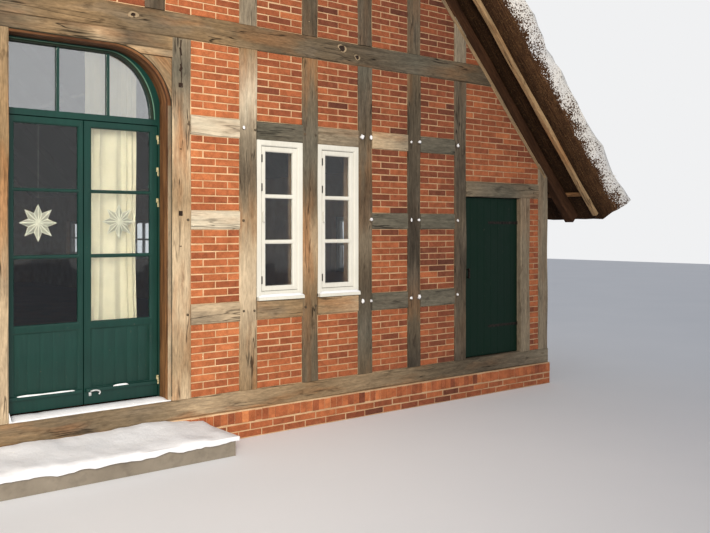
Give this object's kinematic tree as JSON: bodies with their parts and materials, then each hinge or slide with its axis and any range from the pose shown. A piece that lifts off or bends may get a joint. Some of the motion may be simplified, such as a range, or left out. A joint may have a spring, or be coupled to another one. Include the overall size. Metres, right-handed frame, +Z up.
{
  "type": "half-timbered farmhouse",
  "caption": "Half-timbered brick farmhouse under a steep thatched roof, with a wide glazed gate under an arch, white casement windows and side doors; the gate leaves and a side door swing.",
  "frame": {"origin": "on the ground at the middle of the house, under the ridge", "axes": "+X to the right as seen from in front of the gate gable, +Y from that gable toward the rear, +Z up"},
  "size_m": [14.6706, 19, 10.1722],
  "materials": {
    "oak": "weathered, bare",
    "brick": "rough brick with pale mortar joints",
    "stone": "rough",
    "lining_boards": "oiled",
    "gate_paint": "satin paint",
    "door_paint": "matt paint",
    "window_paint": "satin paint",
    "window_glass": "clear",
    "thatch": "reed thatch",
    "curtain_cloth": "gathered cotton"
  },
  "bodies": {
    "house": {"front_sole": "oak", "front_tie_beam": "oak", "gate_post_right": "oak", "gate_post_left": "oak", "gate_center_post": "oak", "gate_lintel": "oak", "gate_brace_right": "oak", "gate_brace_left": "oak", "front_frame_right": "oak", "front_frame_left": "oak", "side_door_frame_right": "oak", "side_door_frame_left": "oak", "gable_frame": "oak", "rear_frame": "oak", "side_frame_right": "oak", "side_frame_left": "oak", "roof_frame_right": "oak", "roof_frame_left": "oak", "brick_plinth": "brick", "front_wall_right": "brick", "front_wall_left": "brick", "corner_wall_right": "brick", "corner_wall_left": "brick", "gable_wall": "brick", "rear_wall": "brick", "side_wall_right": "brick", "side_wall_left": "brick", "gate_step": "stone", "ground_floor": "stone", "gate_lining_right": "lining_boards", "gate_lining_left": "lining_boards", "gate_frame_right": "gate_paint", "gate_frame_left": "gate_paint", "gate_leaf_1_left": "gate_paint", "gate_leaf_2_left": "gate_paint", "side_door_left": "door_paint", "window_1_right": "window_paint", "window_1_left": "window_paint", "window_2_right": "window_paint", "window_2_left": "window_paint", "transom_glass_right": "window_glass", "transom_glass_left": "window_glass", "leaf_glass_1_left": "window_glass", "leaf_glass_2_left": "window_glass", "window_glass_1_right": "window_glass", "window_glass_1_left": "window_glass", "window_glass_2_right": "window_glass", "window_glass_2_left": "window_glass", "side_glass_right": "window_glass", "side_glass_left": "window_glass", "thatch_right": "thatch", "thatch_left": "thatch", "ridge_cap": "thatch", "curtain": "curtain_cloth"},
    "gate_inner_leaf": {"gate_leaf_1_right": "gate_paint", "leaf_glass_1_right": "window_glass"},
    "gate_outer_leaf": {"gate_leaf_2_right": "gate_paint", "leaf_glass_2_right": "window_glass"},
    "side_door_leaf": {"side_door_right": "door_paint"}
  },
  "joints": [
    {"name": "gate_inner_leaf_hinge", "type": "hinge", "parent": "house", "child": "gate_inner_leaf", "pos_m": [0.1163, -8.848, 1.5], "axis": [0, 0, -1], "range_deg": [0, 90]},
    {"name": "gate_outer_leaf_hinge", "type": "hinge", "parent": "house", "child": "gate_outer_leaf", "pos_m": [1.3587, -8.848, 1.5], "axis": [0, 0, 1], "range_deg": [0, 90]},
    {"name": "side_door_hinge", "type": "hinge", "parent": "house", "child": "side_door_leaf", "pos_m": [5.86, -8.946, 1.3], "axis": [0, 0, 1], "range_deg": [0, 90]}
  ]
}
